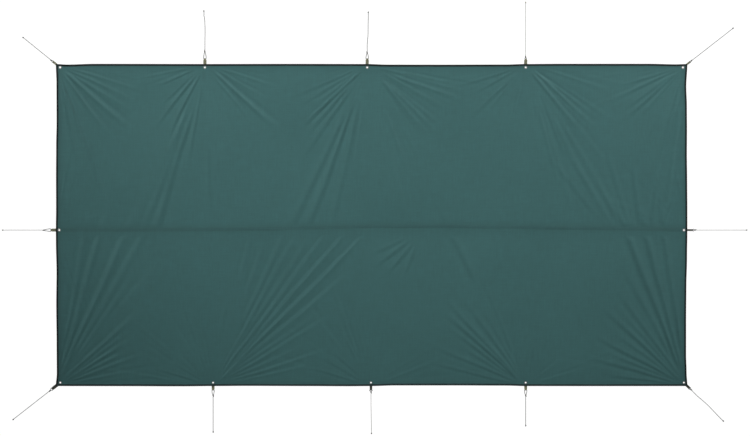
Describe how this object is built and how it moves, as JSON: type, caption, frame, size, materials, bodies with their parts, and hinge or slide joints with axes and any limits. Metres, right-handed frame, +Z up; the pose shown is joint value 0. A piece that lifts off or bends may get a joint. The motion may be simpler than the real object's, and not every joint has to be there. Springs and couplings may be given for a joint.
{
  "type": "tarp shelter",
  "caption": "Rectangular coated-fabric tarp laid flat, with a ridge seam, taped edges, eyelets, webbing tie-out loops and guylines.",
  "frame": {"origin": "middle of the sheet, on the ground it lies on", "axes": "+X along the ridge seam to the right end, +Y across the sheet towards the rear hem (the picture's upper hem), +Z up out of the ground"},
  "size_m": [4.7218, 2.7388, 0.0114],
  "materials": {
    "cloth_rear": "matt coated weave",
    "cloth_front": "matt coated weave",
    "seam": "matt coated weave",
    "binding": "matt woven tape",
    "webbing": "matt woven webbing",
    "thread": "matt thread",
    "cord": "matt braid",
    "eyelet": "plated"
  },
  "bodies": {
    "rear_half": {"rear_panel": "cloth_rear", "ridge_seam": "seam", "rear_hem_binding": "binding", "left_rear_binding": "binding", "right_rear_binding": "binding", "rear_eyelets": "eyelet", "rear_washers": "eyelet", "rear_webbing_tails": "webbing", "rear_bar_tacks": "thread"},
    "front_half": {"front_panel": "cloth_front", "front_hem_binding": "binding", "left_front_binding": "binding", "right_front_binding": "binding", "front_eyelets": "eyelet", "front_washers": "eyelet", "front_webbing_tails": "webbing", "front_bar_tacks": "thread"},
    "tie_rear_left_corner": {"loop_rear_left_corner": "webbing", "eye_rear_left_corner": "cord"},
    "line_rear_left_corner": {"guyline_rear_left_corner": "cord"},
    "tie_rear_left": {"loop_rear_left": "webbing", "eye_rear_left": "cord"},
    "line_rear_left": {"guyline_rear_left": "cord"},
    "tie_rear_middle": {"loop_rear_middle": "webbing", "eye_rear_middle": "cord"},
    "line_rear_middle": {"guyline_rear_middle": "cord"},
    "tie_rear_right": {"loop_rear_right": "webbing", "eye_rear_right": "cord"},
    "line_rear_right": {"guyline_rear_right": "cord"},
    "tie_rear_right_corner": {"loop_rear_right_corner": "webbing", "eye_rear_right_corner": "cord"},
    "line_rear_right_corner": {"guyline_rear_right_corner": "cord"},
    "tie_right_ridge": {"loop_right_ridge": "webbing", "eye_right_ridge": "cord"},
    "line_right_ridge": {"guyline_right_ridge": "cord"},
    "tie_front_right_corner": {"loop_front_right_corner": "webbing", "eye_front_right_corner": "cord"},
    "line_front_right_corner": {"guyline_front_right_corner": "cord"},
    "tie_front_right": {"loop_front_right": "webbing", "eye_front_right": "cord"},
    "line_front_right": {"guyline_front_right": "cord"},
    "tie_front_middle": {"loop_front_middle": "webbing", "eye_front_middle": "cord"},
    "line_front_middle": {"guyline_front_middle": "cord"},
    "tie_front_left": {"loop_front_left": "webbing", "eye_front_left": "cord"},
    "line_front_left": {"guyline_front_left": "cord"},
    "tie_front_left_corner": {"loop_front_left_corner": "webbing", "eye_front_left_corner": "cord"},
    "line_front_left_corner": {"guyline_front_left_corner": "cord"},
    "tie_left_ridge": {"loop_left_ridge": "webbing", "eye_left_ridge": "cord"},
    "line_left_ridge": {"guyline_left_ridge": "cord"}
  },
  "joints": [
    {"name": "front_fold", "type": "hinge", "parent": "rear_half", "child": "front_half", "pos_m": [0, -0.0444, 0.0053], "axis": [-1, 0, 0], "range_deg": [0, 150]},
    {"name": "lift_rear_left_corner", "type": "hinge", "parent": "rear_half", "child": "tie_rear_left_corner", "pos_m": [-2.00124, 1.02101, 0.0012], "axis": [0.6293, 0.7771, 0], "range_deg": [0, 90]},
    {"name": "swing_rear_left_corner", "type": "hinge", "parent": "tie_rear_left_corner", "child": "line_rear_left_corner", "pos_m": [-2.02829, 1.04291, 0.00475], "axis": [0, 0, 1], "range_deg": [-55, 55]},
    {"name": "lift_rear_left", "type": "hinge", "parent": "rear_half", "child": "tie_rear_left", "pos_m": [-1.056, 1.0216, 0.0012], "axis": [1, 0, 0], "range_deg": [0, 90]},
    {"name": "swing_rear_left", "type": "hinge", "parent": "tie_rear_left", "child": "line_rear_left", "pos_m": [-1.056, 1.1004, 0.00475], "axis": [0, 0, 1], "range_deg": [-55, 55]},
    {"name": "lift_rear_middle", "type": "hinge", "parent": "rear_half", "child": "tie_rear_middle", "pos_m": [-0.028, 1.0216, 0.0012], "axis": [1, 0, 0], "range_deg": [0, 90]},
    {"name": "swing_rear_middle", "type": "hinge", "parent": "tie_rear_middle", "child": "line_rear_middle", "pos_m": [-0.028, 1.0924, 0.00475], "axis": [0, 0, 1], "range_deg": [-55, 55]},
    {"name": "lift_rear_right", "type": "hinge", "parent": "rear_half", "child": "tie_rear_right", "pos_m": [0.976, 1.0216, 0.0012], "axis": [1, 0, 0], "range_deg": [0, 90]},
    {"name": "swing_rear_right", "type": "hinge", "parent": "tie_rear_right", "child": "line_rear_right", "pos_m": [0.976, 1.0644, 0.00475], "axis": [0, 0, 1], "range_deg": [-55, 55]},
    {"name": "lift_rear_right_corner", "type": "hinge", "parent": "rear_half", "child": "tie_rear_right_corner", "pos_m": [2.00126, 1.02099, 0.0012], "axis": [0.6157, -0.788, 0], "range_deg": [0, 90]},
    {"name": "swing_rear_right_corner", "type": "hinge", "parent": "tie_rear_right_corner", "child": "line_rear_right_corner", "pos_m": [2.02553, 1.03995, 0.00475], "axis": [0, 0, 1], "range_deg": [-55, 55]},
    {"name": "lift_right_ridge", "type": "hinge", "parent": "rear_half", "child": "tie_right_ridge", "pos_m": [2.0016, -0.032, 0.0012], "axis": [0, -1, 0], "range_deg": [0, 60]},
    {"name": "swing_right_ridge", "type": "hinge", "parent": "tie_right_ridge", "child": "line_right_ridge", "pos_m": [2.0504, -0.032, 0.00475], "axis": [0, 0, 1], "range_deg": [-55, 55]},
    {"name": "lift_front_right_corner", "type": "hinge", "parent": "front_half", "child": "tie_front_right_corner", "pos_m": [2.00113, -1.02113, 0.0012], "axis": [-0.7071, -0.7071, 0], "range_deg": [0, 90]},
    {"name": "swing_front_right_corner", "type": "hinge", "parent": "tie_front_right_corner", "child": "line_front_right_corner", "pos_m": [2.02291, -1.04291, 0.00475], "axis": [0, 0, 1], "range_deg": [-55, 55]},
    {"name": "lift_front_right", "type": "hinge", "parent": "front_half", "child": "tie_front_right", "pos_m": [0.976, -1.0216, 0.0012], "axis": [-1, 0, 0], "range_deg": [0, 90]},
    {"name": "swing_front_right", "type": "hinge", "parent": "tie_front_right", "child": "line_front_right", "pos_m": [0.976, -1.0804, 0.00475], "axis": [0, 0, 1], "range_deg": [-55, 55]},
    {"name": "lift_front_middle", "type": "hinge", "parent": "front_half", "child": "tie_front_middle", "pos_m": [-0.004, -1.0216, 0.0012], "axis": [-1, 0, 0], "range_deg": [0, 90]},
    {"name": "swing_front_middle", "type": "hinge", "parent": "tie_front_middle", "child": "line_front_middle", "pos_m": [-0.004, -1.0594, 0.00475], "axis": [0, 0, 1], "range_deg": [-55, 55]},
    {"name": "lift_front_left", "type": "hinge", "parent": "front_half", "child": "tie_front_left", "pos_m": [-1.004, -1.0216, 0.0012], "axis": [-1, 0, 0], "range_deg": [0, 90]},
    {"name": "swing_front_left", "type": "hinge", "parent": "tie_front_left", "child": "line_front_left", "pos_m": [-1.004, -1.0804, 0.00475], "axis": [0, 0, 1], "range_deg": [-55, 55]},
    {"name": "lift_front_left_corner", "type": "hinge", "parent": "front_half", "child": "tie_front_left_corner", "pos_m": [-2.00126, -1.02099, 0.0012], "axis": [-0.6157, 0.788, 0], "range_deg": [0, 90]},
    {"name": "swing_front_left_corner", "type": "hinge", "parent": "tie_front_left_corner", "child": "line_front_left_corner", "pos_m": [-2.03814, -1.0498, 0.00475], "axis": [0, 0, 1], "range_deg": [-55, 55]},
    {"name": "lift_left_ridge", "type": "hinge", "parent": "rear_half", "child": "tie_left_ridge", "pos_m": [-2.0016, -0.032, 0.0012], "axis": [0, 1, 0], "range_deg": [0, 60]},
    {"name": "swing_left_ridge", "type": "hinge", "parent": "tie_left_ridge", "child": "line_left_ridge", "pos_m": [-2.0764, -0.032, 0.00475], "axis": [0, 0, 1], "range_deg": [-55, 55]}
  ]
}
